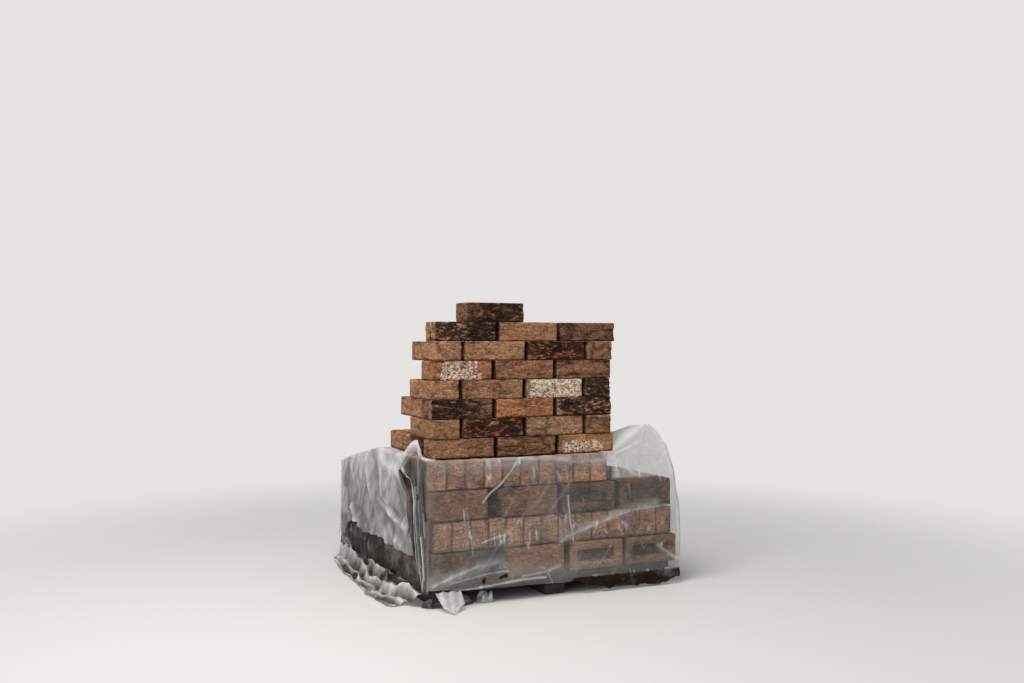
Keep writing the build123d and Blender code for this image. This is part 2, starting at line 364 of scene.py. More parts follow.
class Finish:
    """A material that is put together node by node, starting from nothing."""

    def __init__(self, name):
        self.material = bpy.data.materials.new(name)
        self.material.use_nodes = True
        self.tree = self.material.node_tree
        self.tree.nodes.clear()

    def node(self, kind, sockets=(), **settings):
        """A node with its settings, and with a value or another node's output in each socket."""
        made = self.tree.nodes.new("ShaderNode" + kind)
        for key, value in settings.items():
            setattr(made, key, value)
        for socket, value in dict(sockets).items():
            if isinstance(value, bpy.types.NodeSocket):
                self.tree.links.new(value, made.inputs[socket])
            else:
                made.inputs[socket].default_value = value
        return made

    def noise(self, on, scale, detail, rough=0.5, twist=0.0):
        """Noise read at a place, from 0 to 1."""
        sockets = {"Vector": on, "Scale": scale, "Detail": detail, "Roughness": rough, "Distortion": twist}
        return self.node("TexNoise", sockets).outputs[0]

    def ramp(self, source, low, high, at_low=(0, 0, 0, 1), at_high=(1, 1, 1, 1)):
        """A colour that passes from one to another as a value passes from low to high."""
        made = self.node("ValToRGB", {0: source})
        for end, position, colour in zip(made.color_ramp.elements, (low, high), (at_low, at_high)):
            end.position, end.color = position, colour
        return made.outputs[0]

    def mix(self, kind, factor, a, b):
        """Two colours mixed in that way, by a factor."""
        return self.node("Mix", {0: factor, 6: a, 7: b}, data_type="RGBA", blend_type=kind).outputs[2]

    def sum(self, kind, *values, **settings):
        """One step of sums on values."""
        return self.node("Math", dict(enumerate(values)), operation=kind, **settings).outputs[0]

    def off_middle(self, value, strength):
        """How far a value lies from 0.5, times a strength."""
        return self.sum("MULTIPLY", self.sum("SUBTRACT", value, 0.5), strength)

    def surface(self, shader):
        """Puts the shader on the surface, which finishes the material."""
        self.node("OutputMaterial", {0: shader.outputs[0]})
        return self.material


def fired_clay():
    """Rough fired clay.  The colour stored on the points is broken up by sand-sized and
    pebble-sized noise, given painted shade in its creases, burnt black in patches, specked white
    by lime, and bumped by the sand."""
    clay = Finish("fired clay")
    place = clay.node("TexCoord").outputs["Object"]
    colour = clay.node("Attribute", attribute_name="clay").outputs["Color"]
    marks = clay.node("Attribute", attribute_name="marks").outputs["Color"]
    burn, limed, creases = clay.node("SeparateColor", {0: marks}).outputs
    stretched = clay.node("Mapping", {0: place, "Scale": (1, 1, 2.6)}).outputs[0]
    pulled = clay.node("Mapping", {0: place, "Scale": (0.55, 0.55, 2.4)}).outputs[0]
    shifted = clay.node("Mapping", {0: place, "Location": (3.7, 1.3, 2.1)}).outputs[0]
    sand = clay.noise(place, 420.0, 3.0, 0.6)
    grit = clay.noise(place, 150.0, 5.0, 0.8)
    cloud = clay.noise(place, 16.0, 6.0, 0.65)
    wrinkle = clay.noise(stretched, 40.0, 7.0, 0.68, 0.8)
    drag = clay.noise(pulled, 90.0, 4.0, 0.7, 0.5)
    lime = clay.noise(shifted, 120.0, 5.0, 0.8)

    # Creases lie where the wrinkles cross their middle value, deeper on the creased bricks
    off_middle = clay.sum("ABSOLUTE", clay.sum("SUBTRACT", wrinkle, 0.5))
    cut = clay.ramp(off_middle, 0.004, 0.035, (1, 1, 1, 1), (0, 0, 0, 1))
    cut = clay.sum("MULTIPLY", cut, clay.sum("ADD", 0.16, clay.sum("MULTIPLY", creases, 1.7)))

    # Four sizes of mottling, then pale streaks and painted shade in the creases
    skin = colour
    for strength, source, low, high, dark, light in (
            (0.8, grit, 0.36, 0.64, (0.36, 0.34, 0.33, 1), (1.62, 1.62, 1.6, 1)),
            (0.8, drag, 0.38, 0.62, (0.5, 0.48, 0.47, 1), (1.5, 1.5, 1.5, 1)),
            (0.62, cloud, 0.32, 0.68, (0.66, 0.62, 0.6, 1), (1.28, 1.28, 1.3, 1)),
            (0.5, sand, 0.3, 0.7, (0.6, 0.6, 0.6, 1), (1.3, 1.3, 1.3, 1))):
        skin = clay.mix("MULTIPLY", strength, skin, clay.ramp(source, low, high, dark, light))
    streak = clay.sum("MULTIPLY", clay.ramp(wrinkle, 0.52, 0.66), 0.22)
    skin = clay.mix("MIX", streak, skin, (0.52, 0.36, 0.25, 1))
    skin = clay.mix("MULTIPLY", cut, skin, (0.34, 0.28, 0.25, 1))

    # The black of the fire, and the white of the lime over it
    scorch = burn
    for source, strength in ((cloud, 1.1), (wrinkle, 3.2), (grit, 1.6)):
        scorch = clay.sum("ADD", scorch, clay.off_middle(source, strength))
    black = clay.mix("MULTIPLY", 1.0, skin, (0.15, 0.125, 0.11, 1))
    skin = clay.mix("MIX", clay.ramp(scorch, 0.34, 0.66), skin, black)
    less_limed = clay.sum("MULTIPLY", clay.sum("SUBTRACT", limed, 1.0), 0.3)
    caught = clay.sum("ADD", clay.sum("ADD", lime, less_limed), clay.off_middle(drag, 0.45))
    specks = clay.sum("MULTIPLY", clay.ramp(caught, 0.47, 0.53), 0.95)
    skin = clay.mix("MIX", specks, skin, (0.95, 0.79, 0.62, 1))

    height = clay.sum("ADD", clay.sum("MULTIPLY", grit, 1.5), clay.sum("MULTIPLY", sand, 0.4))
    height = clay.sum("SUBTRACT", height, clay.sum("MULTIPLY", cut, 1.3))
    bump = clay.node("Bump", {"Strength": 1.0, "Distance": 0.0042, "Height": height}).outputs[0]
    return clay.surface(clay.node("BsdfPrincipled", {
        "Base Color": skin, "Roughness": 0.93, "Specular IOR Level": 0.18, "Normal": bump}))


CLAY = fired_clay()


def brick_piece(node, kinds, seed, step, arris, frog_shade=0.72, grow=0.0, tone=1.0):
    """All bricks of one CAD node, as one piece that stands for it.  They are modelled with lattice
    steps and arrises of that size, and grow makes up for what the noise takes off their ends."""
    blocks = blocks_in(node)
    points, faces, clays, marks = brick_rows(blocks, kinds(blocks), step, arris, frog_shade, seed, grow, tone)
    piece = mesh_object("brick_" + node, points, faces)
    paint(piece, "clay", clays)
    paint(piece, "marks", marks)
    piece.data.materials.append(CLAY)
    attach(piece, "root")
    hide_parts(node)


def front_kinds(kinds, seed, choices=len(PLAIN)):
    """A picker that gives the front bricks of a row their kinds, and the rest plain ones at random,
    the same on each run."""
    def pick(blocks):
        order = np.random.default_rng(seed).integers(0, choices, len(blocks))
        picked = [PLAIN[n] for n in order]
        faces = [middle[1] - extent[1] / 2 for middle, extent, _ in blocks]
        shown = [n for n, face in enumerate(faces) if face < min(faces) + 5 * MM]
        for n, kind in zip(sorted(shown, key=lambda n: (blocks[n][0][0], n)), kinds):
            picked[n] = kind
        return picked
    return pick


# Each layer: the kinds along its front, how light it looks through the film, and how strong the
# painted shade in its frogs and the painted highlight on their rims are
LAYERS = {
    1: (("shaded", "pale_brown", "pale_brown", "grey_brown"), 0.66, 0.72),
    2: (("olive", "pink_specked", "olive", "pink_specked", "tan", "pink_specked", "olive",
         "grey_brown", "brown", "grey_brown", "tan", "grey_brown", "brown", "grey_brown"), 1.22, 0.72),
    3: (("brown", "grey_brown", "shaded", "shaded"), 0.7, 0.3),
    4: ((), 1.38, 0.72),
}
for layer, (kinds, tone, frog_shade) in LAYERS.items():
    brick_piece(f"layer_{layer}_bricks", front_kinds(kinds, layer, 4), 20 + layer,
                step=34 * MM, arris=6 * MM, frog_shade=frog_shade, tone=tone)

# The display stack: seven courses laid flat on the open top of the pack, without mortar, so that
# each brick can be seen.  The kinds run from left to right along the front of each course.
COURSES = {
    1: ("brown", "creased", "ochre"),
    2: ("olive", "rust_burnt", "pink_specked", "olive"),
    3: ("half_burnt", "orange", "burnt"),
    4: ("brown", "brown", "white_specked", "half_burnt"),
    5: ("orange_specked", "grey_brown", "creased"),
    6: ("brown", "brown", "rust_burnt", "grey_brown"),
    7: ("burnt", "tan", "shaded"),
}
for course, kinds in COURSES.items():
    brick_piece(f"course_{course}_bricks", front_kinds(kinds, 40 + course), 50 + course,
                step=5.5 * MM, arris=6 * MM, grow=8 * MM)

# Two odd bricks, fired as the rest: a dark creased one laid on the very top, and one left lying at
# the left of the pack.
brick_piece("top_brick", lambda blocks: ["dark_creased"], 71, step=4 * MM, arris=7 * MM)
brick_piece("loose_brick", lambda blocks: ["pale_brown"], 72, step=5 * MM, arris=7 * MM)


# The pallet: sawn softwood boards nailed across three bearers.  Its wood is coloured nearly black,
# as painted shade for the dark space under the pack.
def sawn_timber():
    """Softwood: grain as noise stretched along X, nearly black as painted shade for the dark under the pack.
    """
    timber = Finish("sawn timber")
    place = timber.node("TexCoord").outputs["Object"]
    drawn_out = timber.node("Mapping", {0: place, "Scale": (6, 90, 90)}).outputs[0]
    grain = timber.noise(drawn_out, 1.0, 6.0)
    colour = timber.ramp(grain, 0.3, 0.72, (0.012, 0.009, 0.007, 1), (0.045, 0.033, 0.024, 1))
    bump = timber.node("Bump", {"Strength": 0.4, "Distance": 0.002, "Height": grain}).outputs[0]
    return timber.surface(timber.node("BsdfPrincipled", {
        "Base Color": colour, "Roughness": 0.85, "Normal": bump}))


TIMBER = sawn_timber()
SAWN_EDGE, SAWN_STEP, WEATHERED = 3 * MM, 30 * MM, 2.2 * MM
for node in ("deck_boards", "bearers"):
    points, faces, start = [], [], 0
    for n, (middle, extent, _) in enumerate(blocks_in(node)):
        lattice, quads = block_lattice(extent, SAWN_STEP, SAWN_EDGE)
        skin, out = rounded(lattice, extent, SAWN_EDGE)
        push = -WEATHERED * fractal(skin + 3.1 * n, 0.05, 90 + n)
        points.append(skin + out * push[:, None] + middle)
        faces.append(quads + start)
        start += len(lattice)
    piece = mesh_object("timber_" + node, np.concatenate(points), np.concatenate(faces))
    piece.data.materials.append(TIMBER)
    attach(piece, "root")
    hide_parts(node)

# The shrink hood: clear polythene film pulled over the pack and shrunk on with heat.  Its top has
# been torn open, and it is creased, dusty and milky where it stands away from the bricks.
LEFT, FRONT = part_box("layer_2_bricks")[0][0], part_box("layer_2_bricks")[0][1]
LAYER_3_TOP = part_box("layer_3_bricks")[1][2]
LAYER_4_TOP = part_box("layer_4_bricks")[1][2]
COVER_LEFT, COVER_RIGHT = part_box("layer_3_bricks")[0][0] - 1 * MM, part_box("layer_1_bricks")[1][0] + 1 * MM
COVER_FRONT, COVER_BACK = FRONT - 1 * MM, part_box("layer_3_bricks")[1][1] + 1 * MM
RAMP_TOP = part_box("layer_4_bricks")[1][1]
TENT_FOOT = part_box("course_7_bricks")[1][0] + 8 * MM
HEM = 48 * MM
MILKIEST = 0.95


def clear_film():
    """Creased clear film.  Three stored values drive it: haze, from see-through to milky; dirt and
    painted shade, from clean to dark brown; and white, from blue grey to white.  Painted highlights
    raise haze and white.  Clear film still has a thin gloss."""
    film = Finish("clear film")
    place = film.node("TexCoord").outputs["Object"]
    stored = film.node("Attribute", attribute_name="film").outputs["Color"]
    haze, dirt_and_shade, white = film.node("SeparateColor", {0: stored}).outputs
    smear = film.noise(place, 11.0, 6.0, 0.7)
    crinkle = film.noise(place, 26.0, 4.0, twist=1.5)
    bump = film.node("Bump", {"Strength": 0.45, "Distance": 0.005, "Height": crinkle}).outputs[0]
    spread = film.sum("MULTIPLY_ADD", smear, 1.1, 0.45)
    milky = film.sum("MULTIPLY", spread, haze, use_clamp=True)
    dirt_and_shade_spread = film.sum("MULTIPLY", spread, dirt_and_shade, use_clamp=True)
    tone = film.mix("MIX", white, (0.2, 0.2, 0.2, 1), (0.83, 0.83, 0.81, 1))
    dust_and_shade = film.ramp(dirt_and_shade_spread, 0.15, 0.85, (0.4, 0.33, 0.25, 1), (0.024, 0.0155, 0.0095, 1))
    film_colour = film.mix("MIX", dirt_and_shade_spread, tone, dust_and_shade)
    shine = film.sum("MULTIPLY_ADD", dirt_and_shade_spread, -0.45, 0.5)
    skin = film.node("BsdfPrincipled", {
        "Base Color": film_colour, "Roughness": 0.32, "Specular IOR Level": shine, "Normal": bump})
    through = film.node("BsdfTranslucent", {0: film_colour})
    body = film.node("MixShader", {0: 0.3, 1: skin.outputs[0], 2: through.outputs[0]})
    clear = film.node("BsdfTransparent")
    gloss = film.node("BsdfGlossy", {"Roughness": 0.22, "Normal": bump})
    gloss_share = film.sum("MULTIPLY_ADD", dirt_and_shade_spread, -0.06, 0.065)
    pane = film.node("MixShader", {0: gloss_share, 1: clear.outputs[0], 2: gloss.outputs[0]})
    return film.surface(film.node("MixShader", {0: milky, 1: pane.outputs[0], 2: body.outputs[0]}))


FILM = clear_film()


def points_at(x, y=0, z=0):
    """Points with these coordinates, spread over one another where their shapes differ."""
    return np.stack(np.broadcast_arrays(x, y, z), -1)


def grid_quads(rows, columns, closed=False):
    """Quads of a grid of points in row order, with the last column joined to the first if closed."""
    i, j = np.meshgrid(np.arange(rows - 1), np.arange(columns if closed else columns - 1), indexing="ij")
    k = (j + 1) % columns
    corners = [i * columns + j, i * columns + k, (i + 1) * columns + k, (i + 1) * columns + j]
    return np.stack(corners, -1).reshape(-1, 4)


def table(x, pairs):
    """A value read off between pairs of places and values, both in millimetres."""
    return np.interp(x, [a * MM for a, b in pairs], [b * MM for a, b in pairs])


def crease(across, up, stops, width):
    """How near points of a wall are to a drawn crease: 1 on it, falling to 0 at its width away."""
    best = np.full(across.shape, 9.0)
    for a, b in zip(stops[:-1], stops[1:]):
        a, b = np.array(a) * MM, np.array(b) * MM
        run = b - a
        t = clamp(((across - a[0]) * run[0] + (up - a[1]) * run[1]) / (run @ run))
        best = np.minimum(best, np.hypot(across - a[0] - t * run[0], up - a[1] - t * run[1]))
    return clamp(1 - best / (width * MM)) ** 1.4


def creases(across, up, drawn):
    """The strongest of some drawn creases at each point of a wall.  Each crease is its stops along
    and up the wall, in millimetres, its width in millimetres, and its force."""
    strongest = np.zeros(across.shape)
    for stops, width, force in drawn:
        strongest = np.maximum(strongest, force * crease(across, up, stops, width))
    return strongest


def film_piece(name, points, faces, haze, dirt_and_shade, white):
    """A sheet of the hood's film from its points, with haze, dirt and painted shade, and white stored on
    them.
    """
    piece = mesh_object(name, points.reshape(-1, 3), faces)
    stored = points_at(np.zeros(points.shape[:-1]) + np.minimum(haze, MILKIEST), dirt_and_shade, white)
    paint(piece, "film", clamp(stored).reshape(-1, 3))
    piece.data.materials.append(FILM)
    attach(piece, "root")
    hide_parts("shrink_hood")


# The hood's walls, one band of film round the pack from the hem to the torn edge.  At the right of
# the front it rises to the peak of the tent, and leans in there because no bricks hold it out.
WALL_COLUMNS, WALL_ROWS = 700, 120
PEAK = np.array([LEFT + 851 * MM, FRONT + 42 * MM, LAYER_4_TOP + 90 * MM])
TORN_AT = LEFT + 0.680
SLOPE_FOOT = LAYER_3_TOP + 8 * MM
TENT_KNEE, WALL_KNEE = 0.62, 0.77
# Edges as pairs in millimetres: the tent's rim and the hem give a height for a place along the
# front, and the corner and the edge of the painted shadow on the left a place for a height
TENT_RIM = ((680, 493), (736, 530), (799, 566), (836, 586), (851, 587))
RIGHT_CORNER = ((5, 955), (71, 962), (157, 966), (280, 960), (351, 946), (427, 938), (505, 919), (550, 891),
                (587, 851))
FRONT_HEM = ((-8, 65), (129, 56), (239, 52), (353, 50), (470, 49), (520, 46), (560, 32), (630, 22), (700, 12),
             (797, 5), (900, 10), (957, 24))
SHADOW_EDGE = ((150, 120), (283, 150), (359, 175), (436, 270), (500, 230))
FRONT_CREASES = (
    # from the torn edge down to the left, and the milky pull along that edge
    (((303, 479), (285, 452), (258, 422), (236, 399), (202, 376), (173, 344)), 5, 0.9),
    (((60, 500), (230, 492), (420, 486), (560, 470), (690, 464)), 15, 0.42),
    (((300, 486), (440, 478), (560, 462)), 6, 0.5),
    # over the second layer: one upright, one short, and the long pull that rises to the right
    (((118, 310), (128, 240), (140, 168)), 4, 0.6),
    (((173, 209), (212, 222), (251, 230)), 6, 0.6),
    (((471, 189), (500, 208), (600, 236), (675, 259), (762, 282), (899, 291), (939, 284)), 8, 0.8),
    (((480, 200), (600, 244), (720, 276), (860, 300)), 30, 0.42),
    (((499, 350), (505, 290), (521, 185)), 5, 0.75),
    # low down: the streak from the near corner, and the folds above the hem
    (((-8, 78), (67, 104), (155, 130)), 14, 0.75),
    (((-8, 78), (67, 102), (155, 128), (240, 143)), 32, 0.4),
    (((-6, 62), (101, 56), (200, 62), (321, 72), (413, 72)), 7, 0.75),
    (((60, 82), (120, 92), (202, 104), (270, 106)), 6, 0.5),
    (((321, 82), (413, 90), (470, 104)), 6, 0.5),
    (((417, 90), (432, 66), (444, 36)), 6, 0.4),
    (((417, 90), (405, 104), (380, 112)), 7, 0.25),
    (((417, 90), (440, 104), (470, 112)), 8, 0.25),
    (((600, 60), (700, 50), (800, 40), (930, 52)), 8, 0.3),
    # the tent, and the right corner
    (((694, 486), (764, 508), (813, 524), (833, 580)), 9, 0.5),
    (((700, 510), (770, 545), (820, 575)), 20, 0.35),
    (((690, 470), (740, 430), (800, 400)), 12, 0.25),
    (((934, 101), (954, 91), (965, 88)), 9, 0.8),
    (((870, 150), (900, 125), (954, 92)), 14, 0.5),
    # short ones below the torn edge, and at the right
    (((450, 440), (468, 420), (470, 402)), 5, 0.45),
    (((560, 470), (566, 440), (562, 420)), 4, 0.4),
    (((380, 466), (384, 440), (382, 424)), 4, 0.4),
    (((590, 474), (610, 440), (612, 412)), 4, 0.5),
    (((640, 470), (652, 474), (668, 462)), 5, 0.6),
    (((748, 376), (752, 350), (756, 330)), 5, 0.35),
    (((820, 330), (850, 352), (900, 366)), 8, 0.2),
)
# Places and half sizes in millimetres of the tears in the front, and of the gaps at the left
TEARS = ((180, 84, 7, 9), (252, 88, 17, 7))
GAPS = ((844, 98, 10, 24), (765, 92, 26, 20), (672, 90, 34, 24), (540, 92, 24, 22), (394, 98, 36, 22),
        (250, 94, 32, 26))

# The band goes round by legs: the front up to the torn edge, the front of the tent, the right, the
# back and the left.  Each leg has its share of the columns.
corners = np.array([(COVER_LEFT, COVER_FRONT), (TORN_AT, COVER_FRONT), (COVER_RIGHT, COVER_FRONT),
                    (COVER_RIGHT, COVER_BACK), (COVER_LEFT, COVER_BACK), (COVER_LEFT, COVER_FRONT)])
leg_shares = [1.35, 0.55, 0.55, 0.45, 0.95]
turn = np.concatenate([np.linspace(n, n + 1, round(WALL_COLUMNS * leg / sum(leg_shares)), endpoint=False)
                       for n, leg in enumerate(leg_shares)])
leg = turn.astype(int)
at_tent, at_right, at_back, at_left = (leg == n for n in range(1, 5))
part = turn - leg
foot = corners[leg] * (1 - part[:, None]) + corners[leg + 1] * part[:, None]
foot_x, back = foot[:, 0], foot[:, 1]

# The upper edge: the tent's rim, its fall to the back, then the slope over the back of the pack
on_slope = clamp((back - RAMP_TOP) / (COVER_BACK - RAMP_TOP))
side_top = LAYER_4_TOP + (SLOPE_FOOT - LAYER_4_TOP) * on_slope
fall = clamp((back - PEAK[1]) / (RAMP_TOP - PEAK[1]))
rim_x = TORN_AT + (PEAK[0] - TORN_AT) * part
tent_side = PEAK[2] + (LAYER_4_TOP - PEAK[2]) * fall
top_z = np.select([leg == 0, at_tent, at_right & (back <= RAMP_TOP), at_back],
                  [LAYER_4_TOP, table(rim_x - LEFT, TENT_RIM), tent_side, SLOPE_FOOT], side_top)
top_x = np.select([at_tent, at_right],
                  [rim_x, PEAK[0] + (COVER_RIGHT - 6 * MM - PEAK[0]) * fall ** 0.7], foot_x)
top_y = np.select([at_tent, at_right],
                  [COVER_FRONT + (PEAK[1] - COVER_FRONT) * part, np.maximum(back, PEAK[1])], back)

# The lower edge: cut a little askew, with the right of the front hanging down to the ground
front_foot = foot_x - LEFT
jag = (fractal(points_at(front_foot), 0.03, 300) - 0.5) * np.where(front_foot > 0.5, 26 * MM, 5 * MM)
front_hem = np.maximum(table(front_foot, FRONT_HEM) + jag, 1.5 * MM)
hem_z = np.where(leg < 2, front_hem, HEM - 6 * MM * fractal(points_at(turn * 3), 0.08, 301))

# Straight up to the knee, at the top of layer 3, and then leaning in
rise = np.linspace(0, 1, WALL_ROWS)[:, None]
knee = np.where(at_tent, TENT_KNEE, WALL_KNEE)
low, high = clamp(rise / knee), clamp((rise - knee) / (1 - knee))
lean = high ** 1.35
wall_x = foot_x + (top_x - foot_x) * lean
wall_y = back + (top_y - back) * lean
wall_z = hem_z + (LAYER_3_TOP - hem_z) * low + (top_z - LAYER_3_TOP) * high
# Along the right corner the film follows the drawn profile, and the walls on both sides ease into it
corner_z = 10 * MM + (LAYER_3_TOP - 10 * MM) * low + (PEAK[2] - LAYER_3_TOP) * high
corner_x = LEFT + table(corner_z, RIGHT_CORNER)
straight_x = np.where(high > 0, PEAK[0] * lean + COVER_RIGHT * (1 - lean), COVER_RIGHT)
eased_x = wall_x + (corner_x - straight_x) * clamp(1 - part / 0.22) ** 1.5
wall_x = np.select([at_tent, at_right], [TORN_AT + (corner_x - TORN_AT) * part, eased_x], wall_x)
wall = points_at(wall_x, wall_y, wall_z)
outward = points_at(at_right * 1.0 - at_left, at_back * 1.0 - (leg < 2))
for _ in range(5):
    outward = (outward + np.roll(outward, 1, axis=0) + np.roll(outward, -1, axis=0)) / 3
outward /= np.linalg.norm(outward, axis=1, keepdims=True)

# Where things are on the wall, and the shapes that the film takes there
front_s, up, depth_v = wall[..., 0] - LEFT, wall[..., 2].copy(), wall[..., 1] - FRONT
on_front, on_left = np.broadcast_to(leg < 2, up.shape), np.broadcast_to(at_left, up.shape)
hang = rising(front_s, 0.50, 0.05) * on_front * clamp((62 * MM - up) / (8 * MM))
loose = clamp((up - LAYER_3_TOP) / 0.05) * rising(front_s, 0.66, 0.05) * on_front
loose = np.maximum(0.3 + 0.7 * loose, clamp(1 - (up - HEM) / 0.06))
loose = np.where(on_front | on_left, loose, 0.7)
slanted = points_at(wall[..., 0] + wall[..., 1] - 0.75 * up, 0.3 * up, 0.3 * wall[..., 0])
upright = points_at(wall[..., 0] + wall[..., 1] + 0.12 * up, 0.16 * up)
tension = ridges(slanted, 0.09, 304, 12.0) * patches(wall, 0.16, 305, 4, 2.0)
over_headers = beside(up, 0.44, 0.06) + beside(up, 0.235, 0.06)
glints = np.where(on_front | on_left, 1.0, 0.35) * ridges(upright, 0.024, 306, 8.0)
glints = glints * clamp(fractal(wall, 0.03, 309) * 5 - 3.1 + 0.9 * over_headers)
drawn = creases(front_s, up, FRONT_CREASES) * on_front * clamp(0.3 + 1.1 * fractal(wall, 0.028, 332))
faint = ridges(slanted + 3, 0.05, 333, 9.0) * patches(wall, 0.1, 334, 4, 1.9)
torn, gap_seen = np.zeros(up.shape), np.zeros(up.shape)
for at, high_at, wide, tall in TEARS:
    across = front_s - at * MM
    off = np.hypot(across / (wide * MM), (up - high_at * MM - 0.25 * across) / (tall * MM))
    torn = np.maximum(torn, clamp((1.2 - off + 1.2 * (fractal(wall, 0.012, 338) - 0.5)) * 4) * on_front)
for at, high_at, wide, tall in GAPS:
    off = np.hypot((depth_v - at * MM) / (wide * MM), (up - high_at * MM) / (tall * MM))
    off = off + 0.9 * (fractal(wall, 0.02, 339) - 0.5)
    gap_seen = np.maximum(gap_seen, clamp((1.15 - off) * 3) * on_left)
broad = fractal(wall, 0.2, 302)
fine = fractal(wall * np.array([1, 1, 0.5]), 0.03, 303)
wall += outward * (2.0 * MM + 8 * MM * loose * broad + 2.5 * MM * fine + 2.5 * MM * tension + 2 * MM * glints
                   + 4.5 * MM * drawn + 12 * MM * hang * fractal(wall, 0.035, 331))[..., None]

# How milky and how dirty the film is: milkier at the edges, where it stands away and low down, and
# dirtiest by the ground.  The glints, more of them over the headers, are painted highlights, and the
# white band along the top of the front is partly one.  Between the gathered corner and the flap's
# edge, and in the gaps at the left and the tears, the film is darkened as painted shade.
near_top = clamp(1 - (top_z - wall[..., 2]) / 0.016) * on_front
empty = rising(front_s, 0.672, 0.012) * clamp((up - LAYER_3_TOP - 4 * MM) / 0.01) * on_front
rim = np.exp(-((turn - 2.0) / np.where(turn < 2, 0.055, 0.018)) ** 2) * np.clip((up - 0.08) / 0.08, 0.3, 1)
clouds = patches(wall, 0.17, 307, 2, 0.55)
band = beside(up, 104 * MM, 0.045) * on_front * fractal(slanted, 0.05, 311)
top_band = beside(up, 0.468, 0.028) * on_front * fractal(slanted, 0.04, 335)
low_band = on_front * beside(up, 80 * MM, 34 * MM)
soiled = clamp(1 - (up - 0.02) / 0.08) * (0.4 + fractal(wall, 0.05, 308))
below = on_left * clamp((0.22 - up) / 0.05)
black_specks = patches(wall * np.array([1, 1, 0.6]), 0.03, 336, 5, 2.4)
# Painted shade on the left side, from the front back to the shadow's edge, by the gathered corner
shade_behind_gather = on_left * clamp((table(up, SHADOW_EDGE) - depth_v) / 0.01) * rising(up, 0.14, 0.03)
haze = 0.03 + 0.12 * clouds + 0.2 * tension + 0.6 * glints + 0.95 * drawn + 0.38 * near_top + 0.42 * empty
haze += 0.9 * rim + 0.1 * over_headers * fractal(upright, 0.02, 337) * on_front + 0.16 * faint
haze += 0.5 * top_band + 0.3 * band + np.where(on_left, 0.3, 0) + np.where(on_front | on_left, 0, 0.22)
haze += 0.95 * hang + 0.2 * soiled + 0.22 * low_band * fractal(slanted + 2, 0.05, 316)
haze += below * (0.2 + 0.3 * black_specks) + 0.75 * gap_seen + 0.9 * torn + 0.28 * shade_behind_gather
dirt_and_shade = 0.2 + 0.5 * soiled + hang - 0.6 * (drawn + glints + rim) + 0.05 * empty
dirt_and_shade += 0.25 * low_band * fractal(slanted, 0.04, 315)
dirt_and_shade += below * (0.6 + 0.5 * black_specks) + 3 * gap_seen + 3 * torn + 1.2 * shade_behind_gather
film_piece("hood_walls", wall, grid_quads(WALL_ROWS, len(turn), closed=True), haze, dirt_and_shade,
           0.55 + 0.45 * clamp(drawn + glints + rim + empty))

# The top of the hood: film that slopes over the back of the pack, and the tent at the right, whose
# film stood over bricks that have been taken.  Its inner edge is torn.
ROOF_COLUMNS, ROOF_ROWS = 320, 90
ROOF_RIGHT, ROOF_BACK = COVER_RIGHT + 3 * MM, COVER_BACK + 3 * MM
OUTER_EDGE = np.array([
    (LEFT + 0.684, COVER_FRONT, LAYER_4_TOP + 2 * MM),
    PEAK,
    (ROOF_RIGHT, RAMP_TOP, LAYER_4_TOP - 3 * MM),
    (ROOF_RIGHT, ROOF_BACK, LAYER_3_TOP + 5 * MM),
    (COVER_LEFT, ROOF_BACK, LAYER_3_TOP + 5 * MM),
    (COVER_LEFT, RAMP_TOP + 6 * MM, LAYER_4_TOP + 2 * MM)])
TORN_EDGE = np.array([
    (LEFT + 0.692, COVER_FRONT + 10 * MM, LAYER_4_TOP - 2 * MM),
    (TENT_FOOT, FRONT + 0.16, LAYER_4_TOP + 34 * MM),
    (TENT_FOOT - 8 * MM, RAMP_TOP - 30 * MM, LAYER_4_TOP + 2 * MM),
    (LEFT + 0.56, RAMP_TOP - 5 * MM, LAYER_4_TOP + 4 * MM),
    (LEFT + 0.16, RAMP_TOP - 12 * MM, LAYER_4_TOP + 4 * MM),
    (LEFT, RAMP_TOP + 4 * MM, LAYER_4_TOP + 4 * MM)])
leg_t = np.linspace(0, 5, ROOF_COLUMNS)
outer, inner = (np.stack([np.interp(leg_t, range(6), edge[:, n]) for n in range(3)], -1)
                for edge in (OUTER_EDGE, TORN_EDGE))
rounded_x = PEAK[0] + (ROOF_RIGHT - PEAK[0]) * clamp(leg_t - 1) ** 0.7
outer[:, 0] = np.where((leg_t > 1) & (leg_t < 2), rounded_x, outer[:, 0])
w = np.linspace(0, 1, ROOF_ROWS)[:, None]
roof = outer * (1 - w[..., None]) + inner * w[..., None]
inside = np.sin(np.pi * w)
over_tent = clamp((roof[..., 0] - LEFT - 0.66) / 0.05)
roof[..., 2] += inside * (10 * MM * fractal(roof, 0.2, 310) + 14 * MM * fractal(roof, 0.07, 312) * over_tent)
lain = points_at(roof[..., 0] * 0.35 + 0.6 * roof[..., 1], roof[..., 1] * 0.3 - 0.12 * roof[..., 0])
crossed = lain[..., [1, 0, 2]] * 1.2 + 2
folds = ridges(lain, 0.07, 313, 2.6) * patches(roof, 0.12, 316, 3, 0.8)
folds = np.maximum(folds, 0.8 * ridges(crossed, 0.06, 317, 3.0) * patches(roof, 0.1, 318, 4, 2.2))
torn_up = w ** 6 * clamp((roof[..., 0] - TENT_FOOT + 0.03) / 0.02)
torn_up = torn_up * clamp((0.25 - (roof[..., 1] - FRONT)) / 0.05)
roof[..., 2] += 46 * MM * torn_up * fractal(roof, 0.05, 319)
roof[..., 2] += 4 * MM * folds * inside
film_piece("hood_top", roof, grid_quads(ROOF_ROWS, ROOF_COLUMNS),
           0.4 + 0.25 * fractal(roof, 0.15, 314) + 0.25 * folds, 0.15 * fractal(roof, 0.08, 315),
           0.6 + 0.4 * folds)

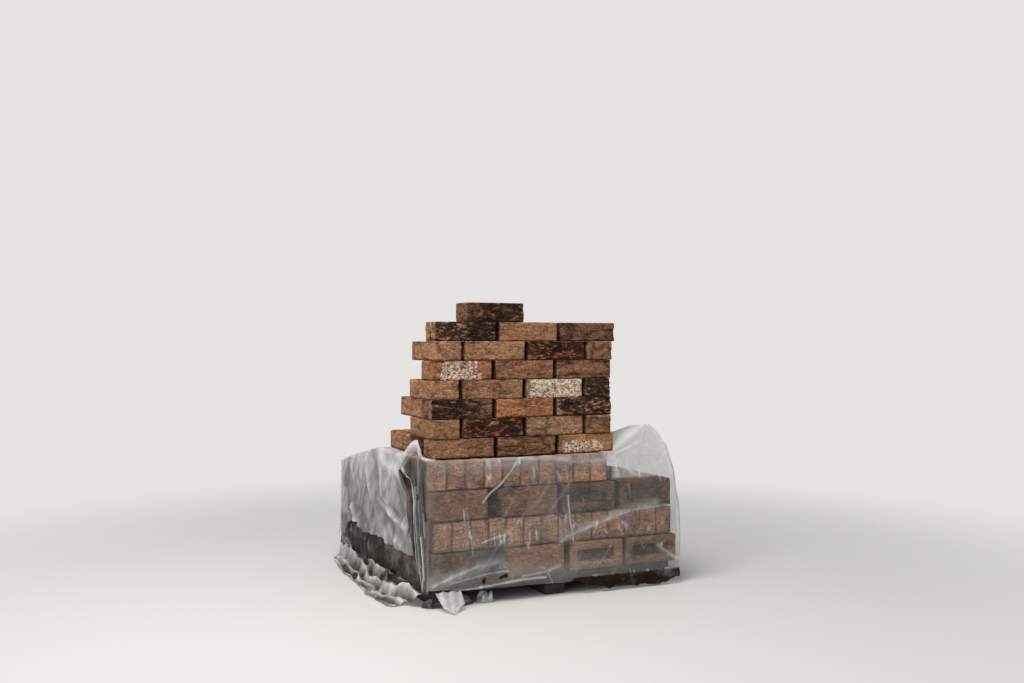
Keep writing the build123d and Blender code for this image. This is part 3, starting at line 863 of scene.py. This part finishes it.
# The flap: the part of the top that was pulled back at the left.  It lies over the edge of layer 4
# and hangs outside the wall in loose broad folds, two films thick and so whiter, with a torn edge.
FLAP_COLUMNS, FLAP_ROWS = 260, 100
FLAP_FRONT, FLAP_BACK = 0.103, 0.955
# In millimetres: how high its torn edge hangs and how far it lies over layer 4, for places along
# the side, and where its front edge is for a height
FLAP_HEM = ((100, 166), (135, 158), (180, 170), (267, 157), (330, 166), (355, 157), (400, 178), (493, 170),
            (560, 172), (625, 158), (700, 190), (800, 180), (835, 168), (860, 120), (955, 108))
OVER_EDGE = ((100, 10), (135, 16), (240, 34), (330, 44), (440, 30), (520, 12), (900, 6))
SLANTED_EDGE = ((160, 105), (283, 140), (359, 158), (410, 225), (436, 258), (470, 215), (510, 190))
# Its folds as drawn creases: hollows that lie in, and shelves that stand out
HOLLOWS = (
    (((566, 479), (500, 400), (455, 340), (330, 240)), 46, 1.0),
    (((790, 330), (700, 240), (560, 180)), 34, 0.9),
    (((880, 400), (900, 300), (830, 230)), 40, 0.8),
    (((430, 300), (330, 300), (220, 260)), 22, 0.8),
    (((640, 420), (600, 330), (540, 250)), 22, 0.5),
    (((300, 420), (250, 330), (170, 290)), 26, 0.7),
)
SHELVES = (
    (((420, 300), (300, 262), (160, 250)), 26, 1.0),
    (((800, 235), (745, 190), (690, 172)), 30, 1.0),
    (((640, 440), (610, 380), (560, 300)), 26, 0.6),
    (((480, 470), (400, 440), (280, 430)), 34, 0.9),
    (((340, 230), (300, 190), (200, 180)), 30, 0.7),
    (((840, 400), (800, 350), (770, 300)), 24, 0.6),
    (((460, 420), (440, 330), (360, 300)), 18, 0.6),
)
flap_v = np.linspace(FLAP_FRONT, FLAP_BACK, FLAP_COLUMNS)
flap_low = table(flap_v, FLAP_HEM) + 10 * MM * (fractal(points_at(flap_v), 0.02, 320) - 0.5)
beyond = clamp((flap_v + FRONT - RAMP_TOP) / (COVER_BACK - RAMP_TOP))
flap_high = LAYER_4_TOP + 1.6 * MM + (LAYER_3_TOP + 12 * MM - LAYER_4_TOP) * beyond
down = np.linspace(0, 1, FLAP_ROWS)[:, None]
drop = rising(down, 0.16, 0.84)
flap_z = flap_high + (flap_low - flap_high) * drop
spot = points_at(flap_v + 0.3 * flap_z, flap_z * 0.45, flap_z * 0.1)
pleats = ridges(spot, 0.15, 321, 2.0)
small = ridges(spot, 0.05, 326, 4.0) * fractal(spot, 0.12, 327)
# Its front edge slants from under the gathered corner down to the front
edge_v = table(flap_z, SLANTED_EDGE)
flap_at = edge_v + (flap_v - FLAP_FRONT) * (FLAP_BACK - edge_v) / (FLAP_BACK - FLAP_FRONT)
deep, shelf = creases(flap_at, flap_z, HOLLOWS), creases(flap_at, flap_z, SHELVES)
hung_off = 24 * fractal(spot, 0.17, 322) + 12 * pleats + 10 * small + 12 * shelf - 8 * deep
stand_off = np.maximum((3 + np.sqrt(drop) * hung_off) * MM, 2 * MM)
flap_x = COVER_LEFT - stand_off + table(flap_v, OVER_EDGE) * clamp(1 - down / 0.16)
flap = points_at(flap_x, FRONT + flap_at, flap_z)
lit = fractal(spot, 0.1, 325)
crisp = fractal(points_at(flap_at * 1.2 + 0.4 * flap_z, flap_z * 0.6), 0.028, 328)
beige = rising(flap_at, 0.80, 0.06) * clamp((0.30 - flap_z) / 0.08 + 0.3)
# Hollows of the folds get painted shade through dirt and white, and shelves and lit patches painted
# highlights
film_piece("hood_flap", flap, grid_quads(FLAP_ROWS, FLAP_COLUMNS)[:, ::-1],
           0.56 + 0.16 * pleats + 0.2 * lit + 0.3 * shelf - 0.1 * drop + 0.3 * (1 - down) ** 4 - 0.2 * beige,
           0.02 + 0.1 * fractal(flap, 0.05, 324) + 0.2 * deep + 0.35 * beige + 0.5 * clamp(crisp - 0.62),
           0.12 + 0.2 * pleats + 0.25 * small + 0.5 * (lit - 0.4) + 0.55 * shelf - 0.4 * deep
           + 0.9 * (1 - down) ** 3 + 1.1 * (crisp - 0.5))

# The gathered corner: at the near left the film stands away from the bricks in upright folds that
# run together at the hem, and its top edge was left standing up in a ridge.  Its outline is a crest
# read along the side, and a back edge read up the height.
GATHER_COLUMNS, GATHER_ROWS = 130, 150
GATHER_FOOT = 52 * MM
CREST = ((-46, 494), (-12, 501), (18, 511), (39, 524), (48, 545), (58, 559), (90, 557), (119, 545),
         (166, 512), (227, 469), (264, 438))
BACK_EDGE = ((50, 38), (100, 62), (163, 100), (269, 112), (366, 106), (393, 120), (417, 152), (430, 190),
             (441, 264), (520, 264))
FRONT_EDGE = ((50, 4), (300, 8), (440, 18), (494, 46), (570, 46))
# Its folds as drawn creases: those that stand out and get painted highlights, and the ones between
# that get painted shade
LIT_FOLDS = (
    (((262, 440), (227, 460), (176, 492), (124, 526), (92, 540), (64, 545)), 32, 1.0),
    (((200, 462), (172, 440), (148, 415), (110, 391), (96, 366), (102, 320), (108, 269)), 9, 1.0),
    (((108, 269), (98, 220), (84, 153), (60, 100), (36, 55)), 6, 0.7),
    (((84, 540), (88, 515), (128, 495), (172, 462)), 6, 0.6),
    (((74, 400), (68, 300), (62, 220), (48, 140), (35, 60)), 6, 0.5),
    (((22, 240), (16, 189), (11, 108), (25, 60)), 6, 0.8),
    (((40, 360), (34, 300), (40, 240)), 5, 0.35),
    (((8, 320), (6, 240)), 5, 0.45),
    (((-20, 494), (-4, 497), (14, 504)), 10, 0.7),
    (((46, 500), (40, 440), (46, 380)), 6, 0.4),
    (((54, 550), (46, 520), (30, 508)), 8, 0.7),
)
DARK_FOLDS = (
    (((132, 290), (126, 210), (112, 160)), 14, 1.0),
    (((92, 350), (86, 270), (74, 190)), 11, 0.8),
    (((52, 380), (50, 260), (40, 150)), 10, 0.9),
    (((100, 470), (70, 420), (60, 360)), 26, 0.7),
    (((20, 460), (10, 380), (4, 300)), 12, 0.6),
    (((230, 440), (190, 425), (150, 400)), 16, 0.8),
)


def round_corner(height, u):
    """How far round the near corner a point is, back along the side or, below 0, along the front:
    that share u of the way from the front edge to the back edge at its height."""
    front_edge = table(height, FRONT_EDGE)
    return u * (front_edge + table(height, BACK_EDGE)) - front_edge


u = np.linspace(0, 1, GATHER_COLUMNS)[None, :]
w = np.linspace(0, 1, GATHER_ROWS)[:, None]
crest = np.full(u.shape, 500 * MM)
for _ in range(12):
    crest = 0.5 * crest + 0.5 * table(round_corner(crest, u), CREST)
gather_z = GATHER_FOOT + (crest - GATHER_FOOT) * w
along = round_corner(gather_z, u)
swell = np.sin(np.pi * np.clip(u, 0.02, 0.98)) ** 0.6
bright, dim = creases(along, gather_z, LIT_FOLDS), creases(along, gather_z, DARK_FOLDS)
rough = fractal(points_at(along, gather_z * 0.35), 0.02, 329)
stand = (3 + swell * (11 + 13 * bright - 7 * dim + 8 * (rough - 0.5))) * MM
stand = stand * np.clip(0.45 + 1.3 * np.minimum(w, 0.75), 0.45, 1.2)
around = clamp(along / (18 * MM) + 0.5) * np.pi / 2
above = clamp((gather_z - LAYER_4_TOP) / 0.06)
gather_x = COVER_LEFT - stand * np.sin(around) - np.minimum(along, 0) + 10 * MM * above
gather_y = COVER_FRONT - stand * np.cos(around) + np.maximum(along, 0)
edge_line = np.exp(-((w - 1) / 0.02) ** 2)
gather = points_at(gather_x, gather_y, gather_z)
# Lit folds give painted highlights through haze and white, and dark folds painted shade through dirt
film_piece("hood_gather", gather, grid_quads(GATHER_ROWS, GATHER_COLUMNS)[:, ::-1],
           0.14 + 0.75 * bright + 0.2 * edge_line + 0.45 * above + 0.25 * dim + 0.4 * (rough - 0.45),
           0.42 * (1 - above) + 0.9 * dim - 0.9 * bright + 0.4 * (rough - 0.5),
           0.35 + 0.65 * np.maximum(bright, 0.6 * above))

# The loose hem at the left: film that slid down, and lies crumpled and trodden on the ground.  Its
# folds run along the pack and draw together at the near corner of the hem.
SKIRT_COLUMNS, SKIRT_ROWS = 300, 80
SKIRT_BACK = 0.985
# Where its near end is for a share of the way out, and how far it reaches out along the side
NEAR_END = ((0, 14), (300, 60), (520, 96), (800, 92), (1000, 87))
REACH = ((14, 78), (87, 84), (116, 106), (208, 112), (320, 116), (430, 104), (560, 94), (695, 86), (800, 72),
         (930, 54), (985, 40))


def pleats_of(phase):
    """Straight-sided pleats: |2t - 1|, where t is the phase's part after the point."""
    return np.abs(2 * (phase % 1) - 1)


out = np.linspace(0, 1, SKIRT_ROWS)[:, None]
near_end = table(out, NEAR_END)
skirt_v = near_end + (SKIRT_BACK - near_end) * np.linspace(0, 1, SKIRT_COLUMNS)
reach = table(skirt_v, REACH)
reach = reach + 14 * MM * (fractal(points_at(skirt_v), 0.06, 340) - 0.5) * rising(skirt_v, 0.087, 0.05)
hang_down = (HEM + 10 * MM) * clamp(1 - out / 0.5) ** 1.2
skirt_x = COVER_LEFT - 3 * MM - reach * out
tossed = points_at(skirt_x + 0.25 * skirt_v, skirt_v * 0.5 - 0.5 * skirt_x)
drift = points_at(skirt_v * 0.35, out * 0.03)
long_folds = pleats_of(3.1 * out + 2.4 * fractal(drift, 0.05, 341, 2))
long_folds = long_folds * (0.4 + 0.9 * fractal(drift, 0.03, 347))
slant_phase = (skirt_v * 1.0 + 0.9 * reach * out) / 0.085 + 2.0 * fractal(tossed, 0.09, 346, 2)
cross_folds = pleats_of(slant_phase) * patches(tossed, 0.07, 348, 3, 1.0)
small_folds = ridges(tossed * 1.3 + 5, 0.03, 344, 3.0)
heap = 26 * MM * long_folds + 13 * MM * cross_folds + 4 * MM * small_folds
settle = np.clip(1.2 - out, 0.2, 1) * clamp(out / 0.15) * np.clip(0.35 + (skirt_v - 0.05) / 0.12, 0.35, 1)
skirt = points_at(skirt_x, FRONT + skirt_v, hang_down + heap * settle + 1.5 * MM)
worn = fractal(tossed, 0.06, 345)
lit_fold = np.maximum(long_folds, 0.7 * cross_folds)
# Raised folds get painted highlights through white and haze, and the film between them painted shade on its
# dirt
film_piece("loose_hem", skirt, grid_quads(SKIRT_ROWS, SKIRT_COLUMNS)[:, ::-1],
           0.72 + 0.2 * lit_fold + 0.1 * small_folds,
           np.clip(0.5 + 1.9 * (worn - 0.45) + 0.3 * (1 - lit_fold) - 0.5 * lit_fold, 0.06, 0.95),
           0.05 + 0.85 * lit_fold ** 2 + 0.3 * small_folds)

# The tongue: a torn corner of the hem that hangs out in front, with its point on the ground.  It
# narrows and shifts from its root to its point.
TONGUE_COLUMNS, TONGUE_ROWS = 60, 60
HALF_WIDTH = ((0, 46), (300, 43), (520, 40), (640, 26), (800, 16), (1000, 2))
SHIFT = ((0, 0), (450, 4), (700, -2), (1000, -6))
cross = np.linspace(-1, 1, TONGUE_COLUMNS)[None, :]
fall_out = np.linspace(0, 1, TONGUE_ROWS)[:, None]
tongue_x = LEFT + 48 * MM + table(fall_out, SHIFT) + table(fall_out, HALF_WIDTH) * cross
tongue_y = COVER_FRONT - 4 * MM - 92 * MM * fall_out + 8 * MM * cross * fall_out
tongue_z = (HEM + 4 * MM) * (1 - fall_out) ** 1.5 + 2 * MM
wave = 5 * MM * np.sin(cross * 4.2 + fall_out * 2.5) ** 2 * clamp(1.3 - fall_out)
tongue = points_at(tongue_x, tongue_y, tongue_z + wave)
film_piece("hem_tongue", tongue, grid_quads(TONGUE_ROWS, TONGUE_COLUMNS),
           0.6 + 0.3 * fractal(tongue, 0.02, 350), 0.08, 0.45 + 0.5 * fractal(tongue, 0.03, 351))

# Trodden scraps of film under the near corner: a dark crumpled piece, and a small pale one farther
# right.  Each is a patch with blunt corners that humps up in its middle.
SCRAP_COLUMNS, SCRAP_ROWS = 60, 40
for name, place, half, tall, flat, seed, grime_at, pale_at in (
        ("trodden_scrap", (66, 44), (92, 42), 30, (0.19, 0.1), 360, 0.85, 0.1),
        ("pale_scrap", (206, 40), (34, 26), 34, (0.085, 0.08), 364, 0.35, 0.5)):
    a = np.linspace(-1, 1, SCRAP_COLUMNS)[None, :]
    b = np.linspace(-1, 1, SCRAP_ROWS)[:, None]
    lay_x, lay_y = half[0] * MM * a * np.sqrt(1 - 0.45 * b * b), half[1] * MM * b * np.sqrt(1 - 0.45 * a * a)
    lay = points_at(lay_x, lay_y)
    hump = 0.4 * fractal(lay, 0.05, seed) + ridges(lay, 0.03, seed + 1, 2.5)
    hump = hump * (1 - a * a) ** 0.5 * (1 - b * b) ** 0.5
    lay = lay + np.array([LEFT + place[0] * MM, FRONT + place[1] * MM, 1.5 * MM])
    lay[..., 2] += tall * MM * hump
    # Their humps are whiter, milkier and less dark: painted highlights
    film_piece(name, lay, grid_quads(SCRAP_ROWS, SCRAP_COLUMNS), 0.75 + 0.2 * hump, grime_at - 0.5 * hump,
               pale_at + 0.6 * hump)


# The floor, the light and the camera.  The camera stands where the photograph's did, worked out
# from the joints of the stack: level, at about chest height, and to the left of the pack.
EYE = np.array([LEFT - 1264 * MM, FRONT - 3300 * MM, 885 * MM])
HEADING, LENS, SENSOR, RISE = math.radians(25.16), 37.44, 36.0, 0.0011
FLOOR_REACH = 60
FADE_FROM, FADE_TO = 0.9, 3.2


def pale_floor():
    """A matt pale floor.  Far from the pack it turns clear to the camera, along a smooth step of the
    distance, so that it passes into the backdrop."""
    paving = Finish("pale floor")
    place = paving.node("TexCoord").outputs["Object"]
    far = paving.node("VectorMath", {0: place}, operation="LENGTH").outputs["Value"]
    fade = paving.node("MapRange", {"Value": far, "From Min": FADE_FROM, "From Max": FADE_TO},
                       interpolation_type="SMOOTHSTEP").outputs[0]
    seen = paving.node("LightPath").outputs["Is Camera Ray"]
    skin = paving.node("BsdfPrincipled", {"Base Color": (0.6, 0.585, 0.56, 1), "Roughness": 0.9})
    open_air = paving.node("BsdfTransparent")
    return paving.surface(paving.node("MixShader", {
        0: paving.sum("MULTIPLY", fade, seen), 1: skin.outputs[0], 2: open_air.outputs[0]}))


floor_mesh = bpy.data.meshes.new("floor")
floor_corners = [(x * FLOOR_REACH, y * FLOOR_REACH, 0) for x, y in ((-1, -1), (1, -1), (1, 1), (-1, 1))]
floor_mesh.from_pydata(floor_corners, [], [(0, 1, 2, 3)])
floor_mesh.materials.append(pale_floor())
floor = bpy.data.objects.new("floor", floor_mesh)
bpy.context.scene.collection.objects.link(floor)

# The sky lights the pack, and the camera sees a warmer backdrop in its place
world = bpy.data.worlds.new("studio")
bpy.context.scene.world = world
world.use_nodes = True
air = world.node_tree
sky = air.nodes["Background"]
sky.inputs[0].default_value, sky.inputs[1].default_value = (0.86, 0.9, 0.95, 1), 0.5
backdrop = air.nodes.new("ShaderNodeBackground")
backdrop.inputs[0].default_value = (0.78, 0.77, 0.75, 1)
looked_at = air.nodes.new("ShaderNodeLightPath")
either = air.nodes.new("ShaderNodeMixShader")
for a, out, b, into in ((looked_at, "Is Camera Ray", either, 0), (sky, 0, either, 1),
                        (backdrop, 0, either, 2), (either, 0, air.nodes["World Output"], 0)):
    air.links.new(a.outputs[out], b.inputs[into])


def soft_lamp(name, place, aim, size, power, colour):
    """A square area lamp at a place, turned to face a point."""
    light = bpy.data.lights.new(name, "AREA")
    light.size, light.energy, light.color = size, power, colour
    lamp = bpy.data.objects.new(name, light)
    bpy.context.scene.collection.objects.link(lamp)
    lamp.location = place
    toward = np.array(aim, dtype=float) - np.array(place, dtype=float)
    lamp.rotation_euler = (math.atan2(math.hypot(toward[0], toward[1]), -toward[2]), 0,
                           math.atan2(toward[1], toward[0]) - math.pi / 2)


soft_lamp("overcast sky", (-1.6, -1.4, 3.8), (0, 0, 0.3), 2.4, 165, (1.0, 0.985, 0.96))
soft_lamp("left fill", (-3.6, -2.6, 1.5), (-0.1, 0, 0.4), 1.8, 40, (0.95, 0.98, 1.0))

lens = bpy.data.cameras.new("camera")
lens.lens, lens.sensor_width, lens.shift_y = LENS, SENSOR, RISE
lens.clip_start, lens.clip_end = 0.1, 200
camera = bpy.data.objects.new("camera", lens)
bpy.context.scene.collection.objects.link(camera)
camera.location = EYE
camera.rotation_euler = (math.pi / 2, 0, -HEADING)
bpy.context.scene.camera = camera
bpy.context.scene.view_settings.view_transform = "Standard"
